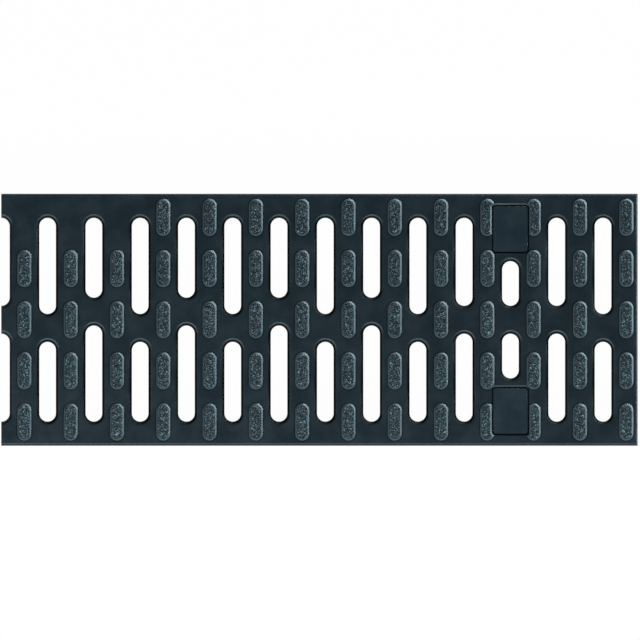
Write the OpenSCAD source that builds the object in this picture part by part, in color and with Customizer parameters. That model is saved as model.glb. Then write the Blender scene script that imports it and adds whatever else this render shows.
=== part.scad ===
// Slotted cast iron grate for a drainage channel, with two spring bolt locks set in its long edges.
// The origin is under the middle of the grate, level with the lowest face of the ribs.
// X runs along the channel, Y across it, and Z is up.

/* [Plate] */
// Length of the grate along the channel
grate_l = 500; // [498:0.5:506]
// Width of the grate across the channel
grate_w = 198; // [196:0.5:202]
// Height of the walking surface above the lowest face of the ribs
top_z = 38; // [37:0.5:42]
// Thickness of the slotted plate
plate_t = 8; // [7:0.5:9]
// Radius on the long top edges and on the right end
edge_r = 2; // [1:0.25:2.5]

/* [Seat rails] */
// Height of the seat faces above the lowest face of the ribs
seat_z = 16; // [15.5:0.5:18]
// Distance from the centre line to the inner face of a rail
rail_in = 80.9; // [80.5:0.1:82]
// How far the rail faces lean from the plate to the seat
rail_draft = 0.7; // [0.2:0.1:1.2]
// Radius on the two lower edges of each rail
rail_r = 1.2; // [0.5:0.1:1.6]

/* [Slots] */
// Distance between neighbouring rows of slots
pitch = 36.37; // [36.3:0.01:36.45]
// Width of a slot at its narrowest
slot_w = 13; // [11:0.25:14]
// Distance from the centre line to the outer end of a slot
slot_out = 80; // [76:0.25:80]
// Distance from the centre line to the inner end of a middling slot
slot_in = 11; // [10.5:0.25:12]
// How far the inner ends of neighbouring slots step to and fro
slot_step = 6.4; // [5:0.1:6.4]
// Distance from the centre line to the outer end of the two key slots
key_slot_out = 46; // [42:0.25:46.5]
// Radius that rounds the mouth of a slot
mouth_r = 3.6; // [2:0.1:3.8]
// How far a slot wall leans outward from mouth to underside
slot_draft = 0.7; // [0.2:0.1:0.7]

/* [Studs] */
// Width of a stud at its foot
stud_w = 11.5; // [10:0.25:12]
// Length of a stud at its foot
stud_l = 29.5; // [26:0.25:30]
// Height of a stud above the plate
stud_h = 1.5; // [1:0.1:2]
// How far a stud's wall leans in from foot to top
stud_lean = 1.3; // [0.6:0.1:1.5]
// Distance between neighbouring rows of studs across the grate
stud_step = 40.2; // [39.8:0.1:40.6]
// Number of studs left off at the left end of the far edge, where that edge is bare
bare_studs = 3; // [0:1:5]

/* [Ribs] */
// Thickness of a cross rib at the plate
rib_t = 10; // [8:0.5:11]
// Thickness of a cross rib at its lowest face
rib_foot_t = 7; // [5:0.5:7]
// Half length of the flat lowest face of a cross rib
rib_flat = 40; // [30:1:44]
// Distance from the centre line at which a cross rib meets the seat plane
rib_end = 79; // [78:0.25:79.5]
// Radius of the fillet between a cross rib and the plate
rib_fillet = 3; // [2:0.25:3]
// Thickness of the long centre rib at the plate
spine_t = 7.2; // [6:0.1:7.4]
// Height of the lowest face of the long centre rib
spine_z = 9; // [6:0.5:14]

/* [Lock pocket] */
// Row of slots that holds the locks, counted from the left end
lock_row = 11; // [10:1:11]
// Width of a lock head along the channel
head_w = 27.5; // [26:0.25:28]
// Length of a lock head across the channel
head_l = 35.9; // [35:0.1:36.5]
// Distance from the centre line to the middle of a lock head
head_y = 71.5; // [71.3:0.1:71.7]
// Thickness of a lock head
head_t = 7.5; // [6:0.25:7.5]
// Corner radius of a lock head
head_r = 2.25; // [1:0.25:4]
// Gap all round a lock head
head_gap = 0.8; // [0.6:0.1:1.6]
// Width of the shallow bevel at the two short ends of the pocket's mouth
pocket_bevel = 1.1; // [0.6:0.1:1.4]
// Height of the lowest face of the block round a lock
block_z = 12; // [11.8:0.1:12.5]

/* [Lock] */
// Width of the stem under a lock head
stem_w = 21; // [20:0.25:21]
// Length of the stem across the channel
stem_l = 17.9; // [16:0.1:17.9]
// Distance from the centre line to the inner face of the stem
stem_in = 57.3; // [57:0.1:57.5]
// Running gap round the stem and at the sides of the bolt
fit_gap = 0.3; // [0.2:0.05:0.35]
// Travel of a bolt
bolt_travel = 7; // [4:0.5:7]
// Distance from the centre line to the tip of a bolt when it is out
bolt_tip = 86.5; // [85:0.25:87]
// Distance from the centre line to the inner end of a bolt when it is out
bolt_tail = 47.5; // [47.2:0.1:47.7]
// Thickness of a bolt
bolt_t = 7.3; // [6.5:0.1:7.3]
// Height of the underside of a bolt
bolt_z = 3.4; // [3.4:0.05:3.6]
// Size of the slope under the tip of a bolt
bolt_slope = 4.5; // [2:0.25:5]
// Wire diameter of a spring
wire_d = 0.9; // [0.7:0.05:0.9]
// Outer diameter of a spring
spring_d = 6.4; // [5:0.1:6.8]
// Number of turns in a spring
spring_turns = 5; // [4:0.5:5]

/* [Keeper] */
// Thickness of the keeper's floor
keeper_t = 2.5; // [2:0.1:2.5]
// Height of the underside of the keeper
keeper_z = 0.6; // [0.4:0.1:0.6]
// Thickness of the keeper's upright sides
keeper_side = 2.4; // [1.8:0.1:2.6]
// Radius of the keeper screw
screw_r = 2.5; // [2:0.1:2.5]
// Radius of the keeper screw's head
screw_head_r = 4.8; // [4:0.1:5.2]
// Radius of the hexagon socket in the screw's head
socket_r = 1.7; // [1.4:0.1:1.8]

/* [Hidden] */
$fn = 48;

cast_colour = [0.16, 0.19, 0.21];
stud_colour = [0.28, 0.34, 0.36];
steel_colour = [0.62, 0.63, 0.65];
zinc_colour = [0.72, 0.72, 0.68];

// How far cutters run past the faces that they open, and solids into what carries them
over = 1;

// A rounding stops at this angle, so that it meets the flat beside it in a plain edge
round_to = 80;

plate_z = top_z - plate_t;
first_x = -grate_l / 2;
rows = floor((grate_l - slot_w) / pitch) + 1;
lock_x = first_x + lock_row * pitch;
half_w = grate_w / 2;

pocket_z = top_z - head_t;
head_in = head_y - head_l / 2;
stem_z = bolt_z + bolt_t + fit_gap;
shaft_in = stem_in - fit_gap;
shaft_l = stem_l + 2 * fit_gap;
shaft_w = stem_w + 2 * fit_gap;
block_in = 49;
block_w = 31;

boss_w = 7.8;
boss_l = 7.5;
boss_in = stem_in;
keeper_top = keeper_z + keeper_t;
keeper_in = 50;
keeper_out = 78.5;
// Play between the spring and the faces at its ends, and between the boss and the bolt's window
play = 0.05;
window_in = boss_in - 2 * play;
bolt_w = stem_w;
keeper_w = bolt_w + 2 * fit_gap + 2 * keeper_side;

// The spring is long enough to give way over the bolt's whole travel before its turns touch
spring_l = bolt_travel + (spring_turns + 1) * wire_d + 4 * play;
spring_from = boss_in + boss_l + play;
spring_to = spring_from + spring_l;
spring_z = (keeper_top + stem_z) / 2;
window_out = spring_to + play;

// How far ribs and blocks run on into the rail, where the rail hides their ends
into_rail = 3;
spine_lean = 0.8;

head_bevel = 0.5;
pocket_bevel_h = 0.5;
screw_hole_h = 15;
screw_l = 14.5;
socket_h = 1.6;
screw_play = 0.02;
lug_l = 2.2;
lug_gap = 0.4;

function row_x(i) = first_x + i * pitch;

// The slots in the lock row, the rows beside it and the end row are middling; the others step
function step_at(i) = (i == 0 || abs(i - lock_row) <= 1) ? 0 : (i % 2 == 1 ? slot_step : -slot_step);

// Points on an arc about [cx, cy]
function arc(cx, cy, r, from, to, steps) =
    [for (k = [0 : steps]) let (a = from + (to - from) * k / steps) [cx + r * cos(a), cy + r * sin(a)]];

// Whatever stands on the left edge is repeated, mirrored, on the right edge
module on_side(side) {
    mirror([0, side == "left" ? 0 : 1, 0]) children();
}

// A long shape with round ends: the profile is spun at both ends and drawn straight between them.
// It runs along Y from y0 to y1 at the ends of the half width a.
module oblong(a, y0, y1) {
    translate([0, y1 - a, 0]) rotate_extrude(angle = 180) children();
    translate([0, y0 + a, 0]) rotate([0, 0, 180]) rotate_extrude(angle = 180) children();
    translate([0, y1 - a, 0]) rotate([90, 0, 0]) linear_extrude(y1 - y0 - 2 * a) {
        children();
        mirror([1, 0]) children();
    }
}

// Half section of a slot: a leaning wall, and above it the rounded mouth
module slot_profile(a) {
    mouth_h = mouth_r * sin(round_to);
    mouth_out = mouth_r * (1 - cos(round_to));
    mouth_z = top_z - mouth_h;
    polygon([[0, plate_z - over], [a + slot_draft, plate_z - over], [a, mouth_z], [0, mouth_z]]);
    translate([0, mouth_z]) difference() {
        square([a + mouth_out, mouth_h + over]);
        translate([a + mouth_r, 0]) circle(r = mouth_r);
    }
}

module slot(x, y0, y1) {
    a = slot_w / 2;
    translate([x, 0, 0]) oblong(a, y0, y1) slot_profile(a);
}

module slots() {
    for (i = [0 : rows - 1]) {
        out = i == lock_row ? key_slot_out : slot_out;
        slot(row_x(i), slot_in - step_at(i), out);
        slot(row_x(i), -out, -slot_in - step_at(i));
    }
}

// Half section of a stud
module stud_profile() {
    a = stud_w / 2;
    b = a - stud_lean;
    high = top_z + stud_h;
    polygon([[0, top_z - over], [a, top_z - over], [a, top_z], [b, high], [0, high]]);
}

// Studs stand on the lands between the slots, in five rows
module studs() {
    for (j = [-2 : 2], i = [j == 2 ? bare_studs : 0 : rows - 1])
        translate([row_x(i + 0.5), j * stud_step, 0])
            oblong(stud_w / 2, -stud_l / 2, stud_l / 2) stud_profile();
}

// Section across the channel: the plate and the two rails that it rests on
module deck_section() {
    foot = half_w - rail_draft;
    half = concat(
        arc(half_w - edge_r, top_z - edge_r, edge_r, 90, 0, 4),
        arc(foot - rail_r, seat_z + rail_r, rail_r, 0, -90, 3),
        arc(rail_in + rail_draft + rail_r, seat_z + rail_r, rail_r, -90, -180, 3),
        [[rail_in, plate_z]]);
    polygon(concat(half, [for (k = [len(half) - 1 : -1 : 0]) [-half[k][0], half[k][1]]]));
}

// Takes the right end's top edge to a round
module end_round() {
    translate([grate_l / 2, -half_w - over, top_z]) rotate([-90, 0, 0]) linear_extrude(grate_w + 2 * over)
        polygon(concat([[over, -over], [over, edge_r]], arc(-edge_r, edge_r, edge_r, 0, -round_to, 4),
                       [[-edge_r * (1 - cos(round_to)), -over]]));
}

// Side view of a cross rib: flat in the middle, curving up to the seat plane at both ends
module rib_side() {
    rise = seat_z;
    run = rib_end - rib_flat;
    belly_r = (run * run + rise * rise) / (2 * rise);
    translate([-rail_in - into_rail, seat_z]) square([2 * (rail_in + into_rail), plate_z + over - seat_z]);
    translate([-rib_flat, 0]) square([2 * rib_flat, plate_z]);
    for (m = [0, 1]) mirror([m, 0]) intersection() {
        translate([rib_flat, belly_r]) circle(r = belly_r, $fn = 180);
        translate([rib_flat - over, 0]) square([run + over, plate_z]);
    }
}

// Section of a cross rib: drafted sides, and a fillet to the plate on each side
module rib_section() {
    fillet_h = rib_fillet * sin(round_to);
    fillet_w = rib_fillet * (1 - cos(round_to));
    polygon([[-rib_foot_t / 2, 0], [rib_foot_t / 2, 0], [rib_t / 2, plate_z], [-rib_t / 2, plate_z]]);
    for (m = [0, 1]) mirror([m, 0]) translate([0, plate_z - fillet_h]) difference() {
        square([rib_t / 2 + fillet_w, fillet_h + over]);
        translate([rib_t / 2 + rib_fillet, 0]) circle(r = rib_fillet);
    }
}

module cross_rib() {
    intersection() {
        translate([0, half_w, 0]) rotate([90, 0, 0]) linear_extrude(grate_w) rib_section();
        translate([-pitch / 2, 0, 0]) rotate([90, 0, 90]) linear_extrude(pitch) rib_side();
    }
}

// The long rib under the centre line, which ties the cross ribs together
module spine() {
    high = spine_t / 2;
    low = high - spine_lean;
    translate([first_x, 0, 0]) rotate([90, 0, 90]) linear_extrude(grate_l)
        polygon([[-low, spine_z], [low, spine_z], [high, plate_z + over], [-high, plate_z + over]]);
}

// The block that fills the space between two cross ribs round a lock
module lock_block() {
    top = plate_z + over;
    joining = rib_end - over;
    translate([lock_x - block_w / 2, 0, 0]) {
        translate([0, block_in, block_z]) cube([block_w, rib_end - block_in, top - block_z]);
        translate([0, joining, seat_z]) cube([block_w, rail_in + into_rail - joining, top - seat_z]);
    }
}

// Outline of a lock head, wider by one gap at its long sides and by another at its ends
function head_points(gaps) =
    let (w = head_w / 2 + gaps[0], l = head_l / 2 + gaps[1], r = head_r + gaps[0])
    concat(arc(w - r, l - r, r, 0, 90, 6), arc(r - w, l - r, r, 90, 180, 6),
           arc(r - w, r - l, r, 180, 270, 6), arc(w - r, r - l, r, 270, 360, 6));

// The same outline, drawn from one pair of gaps at z0 to another at z1 with plain sloping sides
module head_taper(z0, gaps0, z1, gaps1) {
    low = [for (p = head_points(gaps0)) [p[0], p[1], z0]];
    high = [for (p = head_points(gaps1)) [p[0], p[1], z1]];
    n = len(low);
    walls = [for (k = [0 : n - 1]) let (next = (k + 1) % n) [k, n + k, n + next, next]];
    floor_face = [for (k = [0 : n - 1]) k];
    top_face = [for (k = [n - 1 : -1 : 0]) n + k];
    polyhedron(points = concat(low, high), faces = concat(walls, [floor_face], [top_face]));
}

// The pocket for the head, its bevelled mouth, and the shaft below it for the stem.
// Above the plate it widens on all sides, so that it leaves a sloping wall on the studs that it cuts.
module lock_pocket() {
    bevel_z = top_z - pocket_bevel_h;
    cut_h = stud_h + over;
    widen = stud_lean / stud_h * cut_h;
    inside = [head_gap, head_gap];
    mouth = inside + [0, pocket_bevel];
    translate([lock_x, head_y, 0]) {
        translate([0, 0, pocket_z]) linear_extrude(bevel_z - pocket_z) polygon(head_points(inside));
        head_taper(bevel_z, inside, top_z, mouth);
        head_taper(top_z, mouth, top_z + cut_h, mouth + [widen, widen]);
    }
    translate([lock_x - shaft_w / 2, shaft_in, block_z - over])
        cube([shaft_w, shaft_l, pocket_z - block_z + 2 * over]);
}

module grate() {
    color(cast_colour) difference() {
        union() {
            translate([first_x, 0, 0]) rotate([90, 0, 90]) linear_extrude(grate_l) deck_section();
            for (i = [0 : rows - 1]) translate([row_x(i + 0.5), 0, 0]) cross_rib();
            spine();
            on_side("left") lock_block();
            on_side("right") lock_block();
            studs();
        }
        slots();
        end_round();
        on_side("left") lock_pocket();
        on_side("right") lock_pocket();
    }
}

// A flush head that rests on the floor of the pocket, its stem, and the boss that guides the bolt
module lock_body(side) {
    bevel_z = top_z - head_bevel;
    color(cast_colour) on_side(side) translate([lock_x, 0, 0]) difference() {
        union() {
            translate([0, head_y, 0]) {
                translate([0, 0, pocket_z]) linear_extrude(bevel_z - pocket_z) polygon(head_points([0, 0]));
                head_taper(bevel_z, [0, 0], top_z, [-head_bevel, -head_bevel]);
            }
            translate([-stem_w / 2, stem_in, stem_z]) cube([stem_w, stem_l, pocket_z - stem_z + over]);
            translate([-boss_w / 2, boss_in, keeper_top])
                cube([boss_w, boss_l, stem_z - keeper_top + over]);
        }
        translate([0, boss_in + boss_l / 2, keeper_top - over])
            cylinder(r = screw_r, h = screw_hole_h + over);
    }
}

// The sliding bolt: a window round the boss and the spring, a sloped tip, and a lug for the key
module lock_bolt(side) {
    window_w = boss_w + 2 * fit_gap;
    lug_w = bolt_w / 2;
    color(steel_colour) on_side(side) translate([lock_x, 0, 0]) difference() {
        union() {
            translate([-bolt_w / 2, 0, bolt_z]) rotate([90, 0, 90]) linear_extrude(bolt_w)
                polygon([[bolt_tail, 0], [bolt_tip - bolt_slope, 0], [bolt_tip, bolt_slope],
                         [bolt_tip, bolt_t], [bolt_tail, bolt_t]]);
            translate([-lug_w / 2, bolt_tail, keeper_z + lug_gap]) cube([lug_w, lug_l, bolt_z]);
        }
        translate([-window_w / 2, window_in, bolt_z - over])
            cube([window_w, window_out - window_in, bolt_t + 2 * over]);
    }
}

// Round wire wound along Y from one face to the other, with the wire's ends cut square
module lock_spring(side) {
    wire_r = wire_d / 2;
    wind_r = (spring_d - wire_d) / 2;
    sides = 6;
    steps = spring_turns * 16;
    from = spring_from + wire_r;
    rise = spring_to - spring_from - wire_d;
    ring = [for (k = [0 : steps], s = [0 : sides - 1])
        let (turn = 360 * spring_turns * k / steps, a = 360 * s / sides, r = wind_r + wire_r * cos(a))
        [r * cos(turn), from + rise * k / steps + wire_r * sin(a), r * sin(turn)]];
    walls = [for (k = [0 : steps - 1], s = [0 : sides - 1])
        let (n = (s + 1) % sides) [k * sides + s, k * sides + n, (k + 1) * sides + n, (k + 1) * sides + s]];
    first_end = [for (s = [sides - 1 : -1 : 0]) s];
    last_end = [for (s = [0 : sides - 1]) steps * sides + s];
    color(steel_colour) on_side(side) translate([lock_x, 0, spring_z])
        polyhedron(points = ring, faces = concat(walls, [first_end], [last_end]));
}

// The tray that carries the bolt; its sides bear on the block and hold the lock body down
module keeper(side) {
    keeper_l = keeper_out - keeper_in;
    color(zinc_colour) on_side(side) translate([lock_x, 0, 0]) difference() {
        translate([-keeper_w / 2, keeper_in, keeper_z]) cube([keeper_w, keeper_l, block_z - keeper_z]);
        translate([keeper_side - keeper_w / 2, keeper_in - over, keeper_top])
            cube([keeper_w - 2 * keeper_side, keeper_l + 2 * over, block_z]);
        translate([0, boss_in + boss_l / 2, keeper_z]) {
            translate([0, 0, -over]) cylinder(r = screw_r + 4 * play, h = keeper_t + 2 * over);
            cylinder(r1 = screw_head_r + 2 * play, r2 = screw_r + 2 * play, h = keeper_t - 2 * play);
        }
    }
}

// A countersunk screw with a hexagon socket
module keeper_screw(side) {
    head_h = keeper_t - 4 * play;
    thread_r = screw_r - screw_play;
    color(zinc_colour) on_side(side) translate([lock_x, boss_in + boss_l / 2, keeper_z]) difference() {
        union() {
            cylinder(r1 = screw_head_r, r2 = thread_r, h = head_h);
            cylinder(r = thread_r, h = screw_l);
        }
        translate([0, 0, -over]) cylinder(r = socket_r, h = over + socket_h, $fn = 6);
    }
}

grate();
lock_body("left");  // lock_body_left
lock_body("right");  // lock_body_right
lock_bolt("left");  // lock_bolt_left
lock_bolt("right");  // lock_bolt_right
lock_spring("left");  // lock_spring_left
lock_spring("right");  // lock_spring_right
keeper("left");  // keeper_left
keeper("right");  // keeper_right
keeper_screw("left");  // keeper_screw_left
keeper_screw("right");  // keeper_screw_right
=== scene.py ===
import math

import bmesh
import bpy
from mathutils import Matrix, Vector


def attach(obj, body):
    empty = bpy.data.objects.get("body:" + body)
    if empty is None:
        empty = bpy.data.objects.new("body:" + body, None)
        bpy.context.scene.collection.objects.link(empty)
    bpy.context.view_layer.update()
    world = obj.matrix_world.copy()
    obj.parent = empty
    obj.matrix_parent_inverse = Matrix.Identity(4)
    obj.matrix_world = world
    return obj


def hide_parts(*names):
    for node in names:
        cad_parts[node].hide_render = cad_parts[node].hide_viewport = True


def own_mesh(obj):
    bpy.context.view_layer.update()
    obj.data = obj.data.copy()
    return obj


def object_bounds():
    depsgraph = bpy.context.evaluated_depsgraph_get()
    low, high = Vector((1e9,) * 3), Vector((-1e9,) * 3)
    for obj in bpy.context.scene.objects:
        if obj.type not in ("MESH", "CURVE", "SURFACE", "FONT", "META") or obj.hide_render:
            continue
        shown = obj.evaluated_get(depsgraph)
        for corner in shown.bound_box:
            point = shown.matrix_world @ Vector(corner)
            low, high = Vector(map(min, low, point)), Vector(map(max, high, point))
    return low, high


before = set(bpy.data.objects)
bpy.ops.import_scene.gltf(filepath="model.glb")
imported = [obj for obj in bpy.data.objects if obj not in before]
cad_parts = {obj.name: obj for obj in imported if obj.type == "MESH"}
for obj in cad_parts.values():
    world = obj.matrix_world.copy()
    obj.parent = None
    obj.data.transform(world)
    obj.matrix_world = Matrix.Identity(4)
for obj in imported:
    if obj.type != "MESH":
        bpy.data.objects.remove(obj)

cadLow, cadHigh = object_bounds()
mm = 0.001
sides = {"left": 1, "right": -1}  # left is the +Y edge, right the -Y edge
plateTop = 38.0 * mm
studTop = 39.5 * mm
print("frame loaded")


# Shader helpers

def newMaterial(name):
    mat = bpy.data.materials.new(name)
    mat.use_nodes = True
    tree = mat.node_tree
    tree.nodes.clear()
    return mat, tree


def addNode(tree, kind, **settings):
    made = tree.nodes.new(kind)
    for key, value in settings.items():
        setattr(made, key, value)
    return made


def plug(tree, value, socket):
    # a socket gets either a link or a plain number or colour
    if isinstance(value, bpy.types.NodeSocket):
        tree.links.new(value, socket)
    elif isinstance(value, tuple) and socket.type == "RGBA":
        socket.default_value = (*value, 1)
    else:
        socket.default_value = value


def addMath(tree, operation, *values):
    made = addNode(tree, "ShaderNodeMath", operation=operation)
    for socket, value in zip(made.inputs, values):
        plug(tree, value, socket)
    return made.outputs[0]


def mathIn(tree):
    # a short way to add many maths nodes to one tree
    return lambda operation, *values: addMath(tree, operation, *values)


def addStep(tree, source, limits, low=0.0, high=1.0):
    # a smooth step from low to high while the source goes from one limit to the other
    made = addNode(tree, "ShaderNodeMapRange", interpolation_type="SMOOTHSTEP")
    for name, value in (("Value", source), ("From Min", limits[0]), ("From Max", limits[1]),
                        ("To Min", low), ("To Max", high)):
        plug(tree, value, made.inputs[name])
    return made.outputs["Result"]


def stepFrom(tree, source, base, limits, low=0.0, high=1.0):
    # the same, with both limits counted from a base
    return addStep(tree, source, (base + limits[0], base + limits[1]), low, high)


def addMix(tree, factor, first, second):
    made = addNode(tree, "ShaderNodeMix", data_type="RGBA", blend_type="MIX")
    plug(tree, factor, made.inputs[0])
    plug(tree, first, made.inputs[6])
    plug(tree, second, made.inputs[7])
    return made.outputs[2]


def addNoise(tree, vector, scale, detail, roughness):
    made = addNode(tree, "ShaderNodeTexNoise")
    for name, value in (("Vector", vector), ("Scale", scale), ("Detail", detail), ("Roughness", roughness)):
        plug(tree, value, made.inputs[name])
    return made.outputs[0]


def addBump(tree, height, distance, strength, below=None):
    made = addNode(tree, "ShaderNodeBump")
    plug(tree, height, made.inputs["Height"])
    plug(tree, distance, made.inputs["Distance"])
    plug(tree, strength, made.inputs["Strength"])
    if below is not None:
        plug(tree, below, made.inputs["Normal"])
    return made.outputs[0]


def addSurface(tree, **values):
    shader = addNode(tree, "ShaderNodeBsdfPrincipled")
    for name, value in values.items():
        plug(tree, value, shader.inputs[name.replace("_", " ")])
    out = addNode(tree, "ShaderNodeOutputMaterial")
    tree.links.new(shader.outputs[0], out.inputs["Surface"])
    return shader


def objectPoint(tree):
    return addNode(tree, "ShaderNodeTexCoord").outputs["Object"]


def pointPart(tree, point, axis):
    split = addNode(tree, "ShaderNodeSeparateXYZ")
    tree.links.new(point, split.inputs[0])
    return split.outputs[axis]


def setMaterial(obj, mat):
    if not obj.data.materials:
        obj.data.materials.append(mat)
    for k in range(len(obj.data.materials)):
        obj.data.materials[k] = mat


# The dip coating on the castings: dark blue-grey over a fine cast skin, with painted shade at the foot of
# the studs and in the mouths of the slots, and a painted highlight on the studs.
# Levels are heights above the plate, below it where negative. Noises are scale, detail and roughness.

coat = {
    "deep": (0.0095, 0.0180, 0.0245),
    "tone": (0.0125, 0.0232, 0.0305),
    "mottle": (60.0, 4.0, 0.6),
    "mottleLimits": (0.3, 0.7),

    "roughness": 0.33,
    "roughnessLimits": (0.25, 0.75),
    "roughnessSpread": (-0.06, 0.08),
    "underRoughness": 0.20,  # added below the plate
    "underLevels": (-12.0 * mm, -7.0 * mm),
    "specular": 0.42,
    "tint": (0.72, 0.93, 1.0),

    "pit": (0.005, 0.008, 0.010),
    "pitLimits": (0.25, 0.42),
    "pitShare": 0.6,
    "grain": (1100.0, 4.0, 0.65),
    "grainDepth": 0.09 * mm,
    "grainBump": 0.50,
    "swell": (210.0, 3.0, 0.55),
    "swellDepth": 0.15 * mm,
    "swellBump": 0.30,

    "foot": (0.002, 0.004, 0.005),  # painted shade at the foot of the studs
    "footWidth": 1.1 * mm,
    "footLevels": (-1.5 * mm, -0.5 * mm),

    "wallHighlight": (0.050, 0.084, 0.100),  # painted highlight on the leaning walls of the studs
    "wallLevels": (0.05 * mm, 0.5 * mm),
    "wallRoughness": 0.15,

    "mouth": (0.0016, 0.0030, 0.0040),  # painted shade where the mouths of the slots turn down
    "mouthLevels": (-0.40 * mm, -0.04 * mm),
    "mouthAtRim": 0.7,  # and the same painted shade on the outer edges
    "mouthRoughness": 0.15,

    "mouthMetalShade": 0.72,  # painted shade: metallic over the near-black colour, so that the deeper mouths and edge roundings reflect almost nothing
    "metalShadeLevels": (-1.0 * mm, -0.45 * mm),
    "metalShadeAtRim": 0.55,
}


# Where an edge that turns down counts as the mouth of a slot, and where as the rounding of an outer edge

edge = {
    "slotLevels": (-7.5 * mm, -3.0 * mm),
    "roundingLevels": (-2.0 * mm, -1.6 * mm),
    "fromLongEdge": (-5.0 * mm, -3.0 * mm),
    "fromEnd": (-2.6 * mm, -2.1 * mm),
}


# Where the studs stand: the lattice that the grit and the painted shade at their feet both follow

lattice = {
    "firstX": -231.815 * mm,
    "pitch": 36.37 * mm,
    "columns": 14,
    "rows": 5,
    "rowStep": 40.2 * mm,
    "footHalfWidth": 5.75 * mm,
    "footHalfLength": 14.75 * mm,
    "bareStuds": 3,  # left off at the left end of the far row
    "farRow": 1.5,  # steps from the middle, past which only the far row stands
}
bareTo = lattice["firstX"] + lattice["pitch"] * (lattice["bareStuds"] - 0.5)


def studFootShadeMask(tree, point):
    # 1 at the foot of a stud, fading to 0 over the plate beside it: where the painted shade goes
    nodeMath = mathIn(tree)
    x, y = pointPart(tree, point, "X"), pointPart(tree, point, "Y")
    pitch, rowStep, half = lattice["pitch"], lattice["rowStep"], lattice["footHalfWidth"]
    offX = nodeMath("WRAP", nodeMath("SUBTRACT", x, lattice["firstX"]), pitch / 2, -pitch / 2)
    offY = nodeMath("ABSOLUTE", nodeMath("WRAP", y, rowStep / 2, -rowStep / 2))
    past = nodeMath("MAXIMUM", nodeMath("SUBTRACT", offY, lattice["footHalfLength"] - half), 0.0)
    squares = nodeMath("ADD", nodeMath("MULTIPLY", offX, offX), nodeMath("MULTIPLY", past, past))
    mask = stepFrom(tree, nodeMath("SQRT", squares), half, (0.0, coat["footWidth"]), 1.0, 0.0)
    farRow = nodeMath("GREATER_THAN", y, rowStep * lattice["farRow"])
    bare = nodeMath("MULTIPLY", nodeMath("LESS_THAN", x, bareTo), farRow)
    return nodeMath("MULTIPLY", mask, nodeMath("SUBTRACT", 1.0, bare))


def turnedEdgeMask(tree, point, levels, atRim):
    # 1 where an edge has turned down in a slot, and atRim in the rounding of the outer edges
    nodeMath = mathIn(tree)
    height = pointPart(tree, point, "Z")
    turned = stepFrom(tree, height, plateTop, levels, 1.0, 0.0)
    inSlot = stepFrom(tree, height, plateTop, edge["slotLevels"])
    inRounding = stepFrom(tree, height, plateTop, edge["roundingLevels"], 0.0, atRim)
    across = nodeMath("ABSOLUTE", pointPart(tree, point, "Y"))
    along = nodeMath("ABSOLUTE", pointPart(tree, point, "X"))
    rim = nodeMath("MAXIMUM", stepFrom(tree, across, cadHigh.y, edge["fromLongEdge"]),
                   stepFrom(tree, along, cadHigh.x, edge["fromEnd"]))
    share = nodeMath("ADD", nodeMath("MULTIPLY", inSlot, nodeMath("SUBTRACT", 1.0, rim)),
                     nodeMath("MULTIPLY", inRounding, rim))
    return nodeMath("MULTIPLY", turned, share)


def coatedCasting(name, skin=1.0, lighter=1.0, studs=True):
    mat, tree = newMaterial(name)
    nodeMath = mathIn(tree)
    point = objectPoint(tree)
    height = pointPart(tree, point, "Z")
    mottle = addNoise(tree, point, *coat["mottle"])
    grain = addNoise(tree, point, *coat["grain"])
    swell = addNoise(tree, point, *coat["swell"])
    deep, tone = (tuple(c * lighter for c in coat[key]) for key in ("deep", "tone"))
    tone = addMix(tree, addStep(tree, mottle, coat["mottleLimits"]), deep, tone)
    tone = addMix(tree, addStep(tree, grain, coat["pitLimits"], coat["pitShare"], 0.0), tone, coat["pit"])
    smoother, rougher = (coat["roughness"] + change for change in coat["roughnessSpread"])
    rough = addStep(tree, mottle, coat["roughnessLimits"], smoother, rougher)
    under = stepFrom(tree, height, plateTop, coat["underLevels"], coat["underRoughness"], 0.0)
    rough = nodeMath("ADD", rough, under)
    if studs:
        nearPlate = stepFrom(tree, height, plateTop, coat["footLevels"])
        # painted shade: darker colour at the foot of every stud
        shadeAtFoot = nodeMath("MULTIPLY", studFootShadeMask(tree, point), nearPlate)
        tone = addMix(tree, shadeAtFoot, tone, coat["foot"])
        # painted shade: the mouths of the slots and the roundings of the outer edges turn near black, and
        # rougher
        mouth = turnedEdgeMask(tree, point, coat["mouthLevels"], coat["mouthAtRim"])
        tone = addMix(tree, mouth, tone, coat["mouth"])
        wall = stepFrom(tree, height, plateTop, coat["wallLevels"])
        # painted highlight: the studs lighter than the plate from low on their walls up
        tone = addMix(tree, wall, tone, coat["wallHighlight"])
        rough = nodeMath("ADD", rough, nodeMath("MULTIPLY", mouth, coat["mouthRoughness"]))
        rough = nodeMath("ADD", rough, nodeMath("MULTIPLY", wall, coat["wallRoughness"]))
    surface = addSurface(tree, Base_Color=tone, Roughness=rough, Specular_IOR_Level=coat["specular"],
                         Specular_Tint=coat["tint"])
    if studs:
        # painted shade: the deeper turned-down edges made metallic so that they give almost no reflection
        bare = turnedEdgeMask(tree, point, coat["metalShadeLevels"], coat["metalShadeAtRim"])
        tree.links.new(nodeMath("MULTIPLY", bare, coat["mouthMetalShade"]), surface.inputs["Metallic"])
    bump = addBump(tree, swell, coat["swellDepth"], coat["swellBump"] * skin)
    bump = addBump(tree, grain, coat["grainDepth"], coat["grainBump"] * skin, bump)
    tree.links.new(bump, surface.inputs["Normal"])
    return mat


setMaterial(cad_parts["grate"], coatedCasting("coatedIron"))
lockCoat = coatedCasting("coatedLockCasting", skin=0.5, lighter=1.35, studs=False)
for side in sides:
    setMaterial(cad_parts["lock_body_" + side], lockCoat)
print("castings coated")


# Steel parts of the locks: a fine grain in the bump, and clouds in colour and gloss

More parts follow.
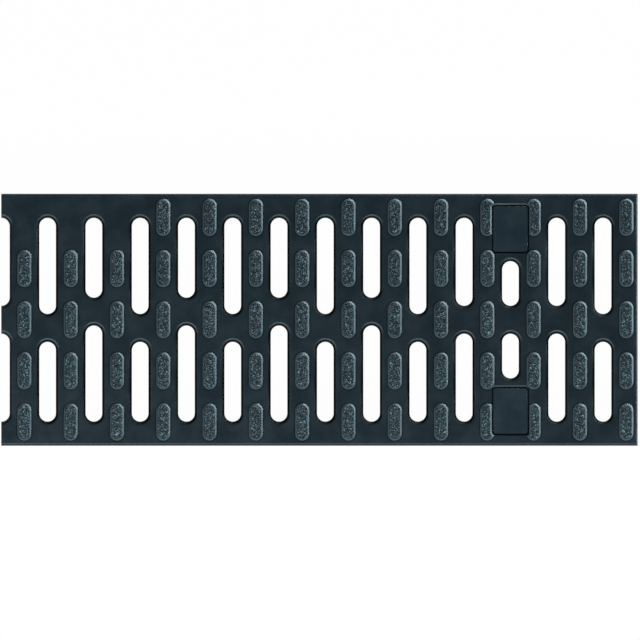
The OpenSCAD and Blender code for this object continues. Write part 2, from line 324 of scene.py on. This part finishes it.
steel = {
    "darkShare": 0.72,
    "cloudLimits": (0.3, 0.7),
    "roughnessLimits": (0.25, 0.75),
    "roughnessSpread": (-0.05, 0.10),
    "grainBump": 0.6,
}
finishes = {
    "machinedBoltSteel": {
        "colour": (0.36, 0.36, 0.37),
        "roughness": 0.32,
        "grain": (260.0, 3.0, 0.6),
        "cloud": (39.0, 3.0, 0.5),
        "grainDepth": 0.03 * mm,
        "stretch": 12.0,  # the grain runs along the slide
    },
    "drawnSpringWire": {
        "colour": (0.30, 0.30, 0.32),
        "roughness": 0.28,
        "grain": (900.0, 3.0, 0.6),
        "cloud": (135.0, 3.0, 0.5),
        "grainDepth": 0.01 * mm,
        "stretch": 1.0,
    },
    "zincPlate": {
        "colour": (0.52, 0.52, 0.48),
        "roughness": 0.42,
        "grain": (480.0, 3.0, 0.6),
        "cloud": (72.0, 3.0, 0.5),
        "grainDepth": 0.02 * mm,
        "stretch": 1.0,
    },
}


def steelFinish(name):
    mat, tree = newMaterial(name)
    look = finishes[name]
    lay = addNode(tree, "ShaderNodeMapping")
    lay.inputs["Scale"].default_value = (1.0, 1.0 / look["stretch"], 1.0)
    tree.links.new(objectPoint(tree), lay.inputs["Vector"])
    grain = addNoise(tree, lay.outputs[0], *look["grain"])
    cloud = addNoise(tree, lay.outputs[0], *look["cloud"])
    dark = tuple(c * steel["darkShare"] for c in look["colour"])
    tone = addMix(tree, addStep(tree, cloud, steel["cloudLimits"]), dark, look["colour"])
    smoother, rougher = (look["roughness"] + change for change in steel["roughnessSpread"])
    rough = addStep(tree, cloud, steel["roughnessLimits"], smoother, rougher)
    surface = addSurface(tree, Base_Color=tone, Metallic=1.0, Roughness=rough)
    bump = addBump(tree, grain, look["grainDepth"], steel["grainBump"])
    tree.links.new(bump, surface.inputs["Normal"])
    return mat


boltSteel = steelFinish("machinedBoltSteel")
springWire = steelFinish("drawnSpringWire")
zincPlate = steelFinish("zincPlate")
for side in sides:
    setMaterial(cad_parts["lock_bolt_" + side], boltSteel)
    setMaterial(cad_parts["keeper_" + side], zincPlate)
    setMaterial(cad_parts["keeper_screw_" + side], zincPlate)
print("lock steel finished")


# Geometry Nodes helpers

def newTree(name, sockets):
    # named inputs for the sizes, and one geometry output
    tree = bpy.data.node_groups.new(name, "GeometryNodeTree")
    for label, kind in sockets.items():
        tree.interface.new_socket(label, in_out="INPUT", socket_type="NodeSocket" + kind)
    tree.interface.new_socket("Geometry", in_out="OUTPUT", socket_type="NodeSocketGeometry")
    return tree, addNode(tree, "NodeGroupInput").outputs, addNode(tree, "NodeGroupOutput").inputs[0]


def wire(tree, kind, inputs=(), **settings):
    # a node with its inputs given by name, or by place
    made = addNode(tree, kind, **settings)
    for key, value in dict(inputs).items():
        plug(tree, value, made.inputs[key])
    return made


def shift(tree, geometry, axis, distance):
    # moves each point along one axis
    offset = wire(tree, "ShaderNodeCombineXYZ", {axis: distance})
    moved = wire(tree, "GeometryNodeSetPosition", {"Geometry": geometry, "Offset": offset.outputs[0]})
    return moved.outputs[0]


def finishTree(tree, geometry, finish, out):
    smooth = wire(tree, "GeometryNodeSetShadeSmooth", {"Geometry": geometry, "Shade Smooth": True})
    painted = wire(tree, "GeometryNodeSetMaterial", {"Geometry": smooth.outputs[0], "Material": finish})
    tree.links.new(painted.outputs[0], out)


def grow(name, tree, values):
    # runs the tree on an empty mesh and keeps the result as a plain mesh at the origin
    carrier = bpy.data.objects.new(name + "Carrier", bpy.data.meshes.new(name + "Carrier"))
    bpy.context.scene.collection.objects.link(carrier)
    modifier = carrier.modifiers.new(name, "NODES")
    modifier.node_group = tree
    for item in tree.interface.items_tree:
        if item.in_out == "INPUT" and item.name in values:
            modifier[item.identifier] = values[item.name]
    bpy.context.view_layer.update()
    depsgraph = bpy.context.evaluated_depsgraph_get()
    mesh = bpy.data.meshes.new_from_object(carrier.evaluated_get(depsgraph), depsgraph=depsgraph)
    mesh.name = name
    carrier.modifiers.remove(modifier)
    bpy.data.objects.remove(carrier)
    made = bpy.data.objects.new(name, mesh)
    bpy.context.scene.collection.objects.link(made)
    return made


# The lock units: the grit stops at their pockets, and their springs lie in line with them

lock = {
    "x": 150.07 * mm,
    "y": 71.5 * mm,
    "pocketHalfX": 15.85 * mm,  # outline of the pocket, level with the stud tops
    "pocketHalfY": 21.15 * mm,
    "pocketCorner": 4.35 * mm,
    "clear": 0.12 * mm,
}


# Grit on the studs: a rough cap of granules set into the flat top of every stud

grit = {
    "halfWidth": 4.40 * mm,
    "halfLength": 13.40 * mm,
    "columns": 20,
    "rows": 38,  # along the straight sides
    "endRows": 10,  # and round each end
    "lastTurn": 83.0,  # degrees round the end where the grid stops
    "sunk": 0.35 * mm,
    "underside": (0.985, 0.995),  # its size against the top's
    "height": 0.65 * mm,
    "rimRise": (0.10, 0.55, 1.0),  # share of the height at the rim, one row in, and further in
    "granule": 900.0,  # granules per metre
    "seed": 7.0,
    "smoothness": 0.35,
    "dome": (0.95, 1.25),  # height at the middle of a granule, and its fall with distance
    "swell": 1.1,  # heights that change from place to place
    "lowest": 0.02,
}
# Colours of the grit: painted shade in its hollows and a painted highlight on the crests of the granules
gritLook = {
    "stud": (0.0125, 0.029, 0.038),
    "crestHighlight": (0.262, 0.425, 0.495),
    "hollowShade": (0.003, 0.006, 0.008),
    "studLevels": (0.05 * mm, 0.26 * mm),  # above the tops of the studs
    "crestLevels": (0.30 * mm, 0.46 * mm),
    "crestShare": 0.8,
    "speck": (1500.0, 1.0, 0.5),
    "speckLimits": (0.57, 0.66),
    "speckShare": 0.6,
    "speckDepth": 0.06 * mm,
    "speckBump": 0.5,
    "patch": (900.0, 2.0, 0.5),
    "patchLimits": (0.42, 0.50),
    "patchShare": 0.85,
    "roughness": 0.58,
}


def makeCap():
    # a flat cap with round ends: a fine grid on top, a short wall, and a plain underside
    bm = bmesh.new()
    rise = bm.verts.layers.float.new("rise")
    radius, columns, rows = grit["halfWidth"], grit["columns"], grit["rows"]
    straight = grit["halfLength"] - radius
    stepAngle = math.radians(grit["lastTurn"]) / grit["endRows"]
    turns = [stepAngle * k for k in range(1, grit["endRows"] + 1)]
    ends = [(straight + radius * math.sin(t), radius * math.cos(t)) for t in turns]
    lines = [(-y, half) for y, half in reversed(ends)]
    lines += [(straight * (2 * j / rows - 1), radius) for j in range(rows + 1)] + ends
    grid = []
    for j, (y, half) in enumerate(lines):
        grid.append([bm.verts.new((half * (2 * i / columns - 1), y, 0)) for i in range(columns + 1)])
        for i, vert in enumerate(grid[-1]):
            rowsIn = min(i, columns - i, j, len(lines) - 1 - j, len(grit["rimRise"]) - 1)
            vert[rise] = grit["rimRise"][rowsIn]
    for low, high in zip(grid, grid[1:]):
        for i in range(columns):
            bm.faces.new((low[i], low[i + 1], high[i + 1], high[i]))
    rim = grid[0] + [row[-1] for row in grid[1:]] + grid[-1][-2::-1] + [row[0] for row in grid[-2:0:-1]]
    narrower, shorter = grit["underside"]
    under = [bm.verts.new((v.co.x * narrower, v.co.y * shorter, -grit["sunk"])) for v in rim]
    for k in range(len(rim)):
        bm.faces.new((rim[k], rim[k - 1], under[k - 1], under[k]))
    bm.faces.new(under[::-1])
    mesh = bpy.data.meshes.new("gritCap")
    bm.to_mesh(mesh)
    bm.free()
    cap = bpy.data.objects.new("gritCap", mesh)
    bpy.context.scene.collection.objects.link(cap)
    return cap


def gritMaterial():
    mat, tree = newMaterial("studGrit")
    point = objectPoint(tree)
    height = pointPart(tree, point, "Z")
    speck = addNoise(tree, point, *gritLook["speck"])
    patch = addNoise(tree, point, *gritLook["patch"])
    body = stepFrom(tree, height, studTop, gritLook["studLevels"])
    crestHighlight = stepFrom(tree, height, studTop, gritLook["crestLevels"], 0.0, gritLook["crestShare"])
    bright = addStep(tree, speck, gritLook["speckLimits"], 0.0, gritLook["speckShare"])
    dark = addStep(tree, patch, gritLook["patchLimits"], gritLook["patchShare"], 0.0)
    # painted shade below the granule tops, painted highlight on the crests and on random specks, and random
    # patches of the painted shade
    tone = addMix(tree, body, gritLook["hollowShade"], gritLook["stud"])
    tone = addMix(tree, crestHighlight, tone, gritLook["crestHighlight"])
    tone = addMix(tree, bright, tone, gritLook["crestHighlight"])
    tone = addMix(tree, dark, tone, gritLook["hollowShade"])
    surface = addSurface(tree, Base_Color=tone, Roughness=gritLook["roughness"],
                         Specular_IOR_Level=coat["specular"], Specular_Tint=coat["tint"])
    bump = addBump(tree, speck, gritLook["speckDepth"], gritLook["speckBump"])
    tree.links.new(bump, surface.inputs["Normal"])
    return mat


def gritTree():
    tree, given, out = newTree("gritOnStuds", {
        "Cap": "Object", "Coat": "Material", "Columns": "Int", "Rows": "Int", "Pitch": "Float",
        "Row Step": "Float", "Middle X": "Float", "Top": "Float", "Far Row": "Float", "Bare To": "Float",
        "Granule": "Float", "Height": "Float", "Seed": "Float", "Lock X": "Float", "Lock Y": "Float",
        "Pocket Half X": "Float", "Pocket Half Y": "Float", "Pocket Corner": "Float"})
    nodeMath = mathIn(tree)
    length = nodeMath("MULTIPLY", nodeMath("SUBTRACT", given["Columns"], 1.0), given["Pitch"])
    width = nodeMath("MULTIPLY", nodeMath("SUBTRACT", given["Rows"], 1.0), given["Row Step"])
    points = wire(tree, "GeometryNodeMeshGrid", {
        "Size X": length, "Size Y": width, "Vertices X": given["Columns"], "Vertices Y": given["Rows"]})
    place = wire(tree, "ShaderNodeCombineXYZ", {"X": given["Middle X"], "Z": given["Top"]})
    moved = wire(tree, "GeometryNodeTransform", {
        "Geometry": points.outputs["Mesh"], "Translation": place.outputs[0]})
    position = wire(tree, "GeometryNodeInputPosition").outputs[0]
    x, y = pointPart(tree, position, "X"), pointPart(tree, position, "Y")
    farRow = nodeMath("GREATER_THAN", y, nodeMath("MULTIPLY", given["Row Step"], given["Far Row"]))
    bare = nodeMath("MULTIPLY", farRow, nodeMath("LESS_THAN", x, given["Bare To"]))
    kept = wire(tree, "GeometryNodeDeleteGeometry", {
        "Geometry": moved.outputs[0], "Selection": bare}, domain="POINT")
    cap = wire(tree, "GeometryNodeObjectInfo", {"Object": given["Cap"]})
    caps = wire(tree, "GeometryNodeInstanceOnPoints", {
        "Points": kept.outputs[0], "Instance": cap.outputs["Geometry"]})
    real = wire(tree, "GeometryNodeRealizeInstances", {"Geometry": caps.outputs[0]})

    # granules: rounded cells of different heights, on top only
    cells = wire(tree, "ShaderNodeTexVoronoi", {
        "Scale": given["Granule"], "W": given["Seed"], "Smoothness": grit["smoothness"]},
        voronoi_dimensions="4D", feature="SMOOTH_F1")
    swell = wire(tree, "ShaderNodeTexNoise", {
        "Scale": nodeMath("MULTIPLY", given["Granule"], 0.5), "W": given["Seed"], "Detail": 2.0},
        noise_dimensions="4D")
    middle, fall = grit["dome"]
    dome = nodeMath("SUBTRACT", middle, nodeMath("MULTIPLY", cells.outputs["Distance"], fall))
    change = nodeMath("MULTIPLY", nodeMath("SUBTRACT", swell.outputs[0], 0.5), grit["swell"])
    rough = nodeMath("MAXIMUM", nodeMath("ADD", dome, change), grit["lowest"])
    rough = nodeMath("MINIMUM", rough, 1.0)
    rise = wire(tree, "GeometryNodeInputNamedAttribute", {"Name": "rise"}, data_type="FLOAT")
    lift = nodeMath("MULTIPLY", nodeMath("MULTIPLY", rough, given["Height"]), rise.outputs[0])
    raised = shift(tree, real.outputs[0], "Z", lift)

    # beside a lock the stud stops at the pocket's edge
    away = nodeMath("SUBTRACT", x, given["Lock X"])
    across = nodeMath("ABSOLUTE", nodeMath("SUBTRACT", nodeMath("ABSOLUTE", y), given["Lock Y"]))
    corner = given["Pocket Corner"]
    past = nodeMath("SUBTRACT", across, nodeMath("SUBTRACT", given["Pocket Half Y"], corner))
    past = nodeMath("MAXIMUM", past, 0.0)
    left = nodeMath("SUBTRACT", nodeMath("MULTIPLY", corner, corner), nodeMath("MULTIPLY", past, past))
    left = nodeMath("SQRT", nodeMath("MAXIMUM", left, 0.0))
    wall = nodeMath("ADD", nodeMath("SUBTRACT", given["Pocket Half X"], corner), left)
    wall = nodeMath("MULTIPLY", wall, nodeMath("LESS_THAN", past, corner))
    inside = nodeMath("LESS_THAN", nodeMath("ABSOLUTE", away), wall)
    outward = nodeMath("SUBTRACT", nodeMath("MULTIPLY", nodeMath("SIGN", away), wall), away)
    trimmed = shift(tree, raised, "X", nodeMath("MULTIPLY", outward, inside))
    welded = wire(tree, "GeometryNodeMergeByDistance", {"Geometry": trimmed, "Distance": 0.01 * mm})
    bared = wire(tree, "GeometryNodeRemoveAttribute", {"Geometry": welded.outputs[0], "Name": "rise"})
    finishTree(tree, bared.outputs[0], given["Coat"], out)
    return tree


def makeGrit():
    cap = makeCap()
    values = {
        "Cap": cap,
        "Coat": gritMaterial(),
        "Columns": lattice["columns"],
        "Rows": lattice["rows"],
        "Pitch": lattice["pitch"],
        "Row Step": lattice["rowStep"],
        "Middle X": lattice["firstX"] + lattice["pitch"] * (lattice["columns"] - 1) / 2,
        "Top": studTop,
        "Far Row": lattice["farRow"],
        "Bare To": bareTo,
        "Granule": grit["granule"],
        "Height": grit["height"],
        "Seed": grit["seed"],
        "Lock X": lock["x"],
        "Lock Y": lock["y"],
        "Pocket Half X": lock["pocketHalfX"] + lock["clear"],
        "Pocket Half Y": lock["pocketHalfY"] + lock["clear"],
        "Pocket Corner": lock["pocketCorner"] + lock["clear"],
    }
    piece = grow("studGrit", gritTree(), values)
    bpy.data.objects.remove(cap)
    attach(piece, "grate_unit")
    print("grit on the studs:", len(piece.data.polygons), "faces")


makeGrit()


# Springs: round wire wound between the guide boss and the end of the bolt's window

spring = {
    "wire": 0.9 * mm,
    "outer": 6.4 * mm,
    "turns": 5.0,
    "inner": 64.85 * mm,
    "length": 12.6 * mm,
    "height": 7.05 * mm,
    "travel": 7.0 * mm,
    "aroundWire": 14,
    "perTurn": 40,
}


def springTree():
    tree, given, out = newTree("woundSpring", {
        "Turns": "Float", "Coil Radius": "Float", "Wire Radius": "Float", "Rise": "Float",
        "Place": "Vector", "Tilt": "Vector", "Steps": "Int", "Around": "Int", "Finish": "Material"})
    coil = wire(tree, "GeometryNodeCurveSpiral", {
        "Resolution": given["Steps"], "Rotations": given["Turns"], "Height": given["Rise"],
        "Start Radius": given["Coil Radius"], "End Radius": given["Coil Radius"]})
    ring = wire(tree, "GeometryNodeCurvePrimitiveCircle", {
        "Resolution": given["Around"], "Radius": given["Wire Radius"]})
    tube = wire(tree, "GeometryNodeCurveToMesh", {
        "Curve": coil.outputs[0], "Profile Curve": ring.outputs[0], "Fill Caps": True})
    turned = wire(tree, "GeometryNodeTransform", {
        "Geometry": tube.outputs[0], "Translation": given["Place"], "Rotation": given["Tilt"]})
    real = wire(tree, "GeometryNodeRealizeInstances", {"Geometry": turned.outputs[0]})
    finishTree(tree, real.outputs[0], given["Finish"], out)
    return tree


def makeSprings():
    tree = springTree()
    wireRadius = spring["wire"] / 2
    for side, s in sides.items():
        values = {
            "Turns": spring["turns"],
            "Coil Radius": spring["outer"] / 2 - wireRadius,
            "Wire Radius": wireRadius,
            "Rise": spring["length"] - spring["wire"],
            "Place": (lock["x"], (spring["inner"] + wireRadius) * s, spring["height"]),
            "Tilt": (-math.pi / 2 * s, 0.0, 0.0),
            "Steps": spring["perTurn"],
            "Around": spring["aroundWire"],
            "Finish": springWire,
        }
        piece = grow("woundSpring_" + side, tree, values)
        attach(piece, "grate_unit")
        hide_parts("lock_spring_" + side)
        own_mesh(piece)
        print("spring", side, len(piece.data.polygons), "faces")


makeSprings()


# Floor, backdrop, lights and camera

stage = {
    "floorSize": 60.0,
    "floorTone": 0.75,
    "glow": 0.985,  # how white the camera sees the floor
    "worldTone": (0.85, 0.93, 1.0),
    "worldLight": 0.10,
}


def makeFloor():
    half = stage["floorSize"] / 2
    corners = [(-half, -half, 0), (half, -half, 0), (half, half, 0), (-half, half, 0)]
    mesh = bpy.data.meshes.new("floor")
    mesh.from_pydata(corners, [], [(0, 1, 2, 3)])
    floor = bpy.data.objects.new("floor", mesh)
    bpy.context.scene.collection.objects.link(floor)
    mat, tree = newMaterial("whiteFloor")
    path = addNode(tree, "ShaderNodeLightPath").outputs
    seen = addMath(tree, "MAXIMUM", addMath(tree, "MAXIMUM", path["Is Camera Ray"], path["Is Glossy Ray"]),
                   path["Is Transmission Ray"])
    glow = addNode(tree, "ShaderNodeEmission")
    matte = addNode(tree, "ShaderNodeBsdfDiffuse")
    matte.inputs["Color"].default_value = (stage["floorTone"],) * 3 + (1,)
    above = addNode(tree, "ShaderNodeMixShader")
    tree.links.new(addMath(tree, "MULTIPLY", seen, stage["glow"]), above.inputs[0])
    tree.links.new(matte.outputs[0], above.inputs[1])
    tree.links.new(glow.outputs[0], above.inputs[2])
    # from below the floor is clear, so that the ribs and the locks can be looked at
    both = addNode(tree, "ShaderNodeMixShader")
    tree.links.new(addNode(tree, "ShaderNodeNewGeometry").outputs["Backfacing"], both.inputs[0])
    tree.links.new(above.outputs[0], both.inputs[1])
    tree.links.new(addNode(tree, "ShaderNodeBsdfTransparent").outputs[0], both.inputs[2])
    out = addNode(tree, "ShaderNodeOutputMaterial")
    tree.links.new(both.outputs[0], out.inputs["Surface"])
    mesh.materials.append(mat)


def makeWorld():
    # white to the camera, and a weak cool light on the object
    world = bpy.data.worlds.new("studio")
    bpy.context.scene.world = world
    world.use_nodes = True
    tree = world.node_tree
    tree.nodes.clear()
    path = addNode(tree, "ShaderNodeLightPath").outputs
    white = addNode(tree, "ShaderNodeBackground")
    white.inputs["Color"].default_value = (1, 1, 1, 1)
    dim = addNode(tree, "ShaderNodeBackground")
    dim.inputs["Color"].default_value = (*stage["worldTone"], 1)
    dim.inputs["Strength"].default_value = stage["worldLight"]
    blend = addNode(tree, "ShaderNodeMixShader")
    seen = addMath(tree, "MAXIMUM", path["Is Camera Ray"], path["Is Transmission Ray"])
    tree.links.new(seen, blend.inputs[0])
    tree.links.new(dim.outputs[0], blend.inputs[1])
    tree.links.new(white.outputs[0], blend.inputs[2])
    out = addNode(tree, "ShaderNodeOutputWorld")
    tree.links.new(blend.outputs[0], out.inputs["Surface"])


# bearing is read on the photograph, 0 up and 90 to the right; size is across and up the panel, in metres
lamps = {
    "keyPanel": {"bearing": 191.0, "elevation": 50.0, "distance": 1.0, "size": (2.5, 0.36), "power": 18.4},
    "rimPanel": {"bearing": 50.0, "elevation": 3.0, "distance": 1.6, "size": (3.0, 0.08), "power": 84.0},
}


def makeLamps():
    centre = Vector((0, 0, plateTop))
    for name, spec in lamps.items():
        light = bpy.data.lights.new(name, "AREA")
        light.shape = "RECTANGLE"
        light.size, light.size_y = spec["size"]
        light.energy = spec["power"]
        lamp = bpy.data.objects.new(name, light)
        bpy.context.scene.collection.objects.link(lamp)
        turn, lift = math.radians(spec["bearing"]), math.radians(spec["elevation"])
        way = Vector((math.sin(turn) * math.cos(lift), math.cos(turn) * math.cos(lift), math.sin(lift)))
        lamp.location = centre + way * spec["distance"]
        lamp.rotation_euler = (-way).to_track_quat("-Z", "Y").to_euler()


# Pixels of the photograph: the two ends of the grate, the row of its middle, and the side of the frame
photo = {"leftEnd": 1.22, "rightEnd": 637.70, "middleRow": 319.755, "side": 640.0}
lens = 800.0  # long enough for the photograph's nearly square view


def makeCamera():
    seen = bpy.data.cameras.new("camera")
    seen.lens = lens
    camera = bpy.data.objects.new("camera", seen)
    bpy.context.scene.collection.objects.link(camera)
    perPixel = (cadHigh.x - cadLow.x) / (photo["rightEnd"] - photo["leftEnd"])
    halfSide = photo["side"] / 2
    middleColumn = (photo["leftEnd"] + photo["rightEnd"]) / 2
    away = halfSide * perPixel / math.tan(seen.angle / 2)
    camera.location = ((halfSide - middleColumn) * perPixel, (photo["middleRow"] - halfSide) * perPixel,
                       plateTop + away)
    seen.clip_end = away * 2
    bpy.context.scene.camera = camera


makeFloor()
makeWorld()
makeLamps()
makeCamera()
bpy.context.scene.view_settings.view_transform = "Standard"
print("studio set")
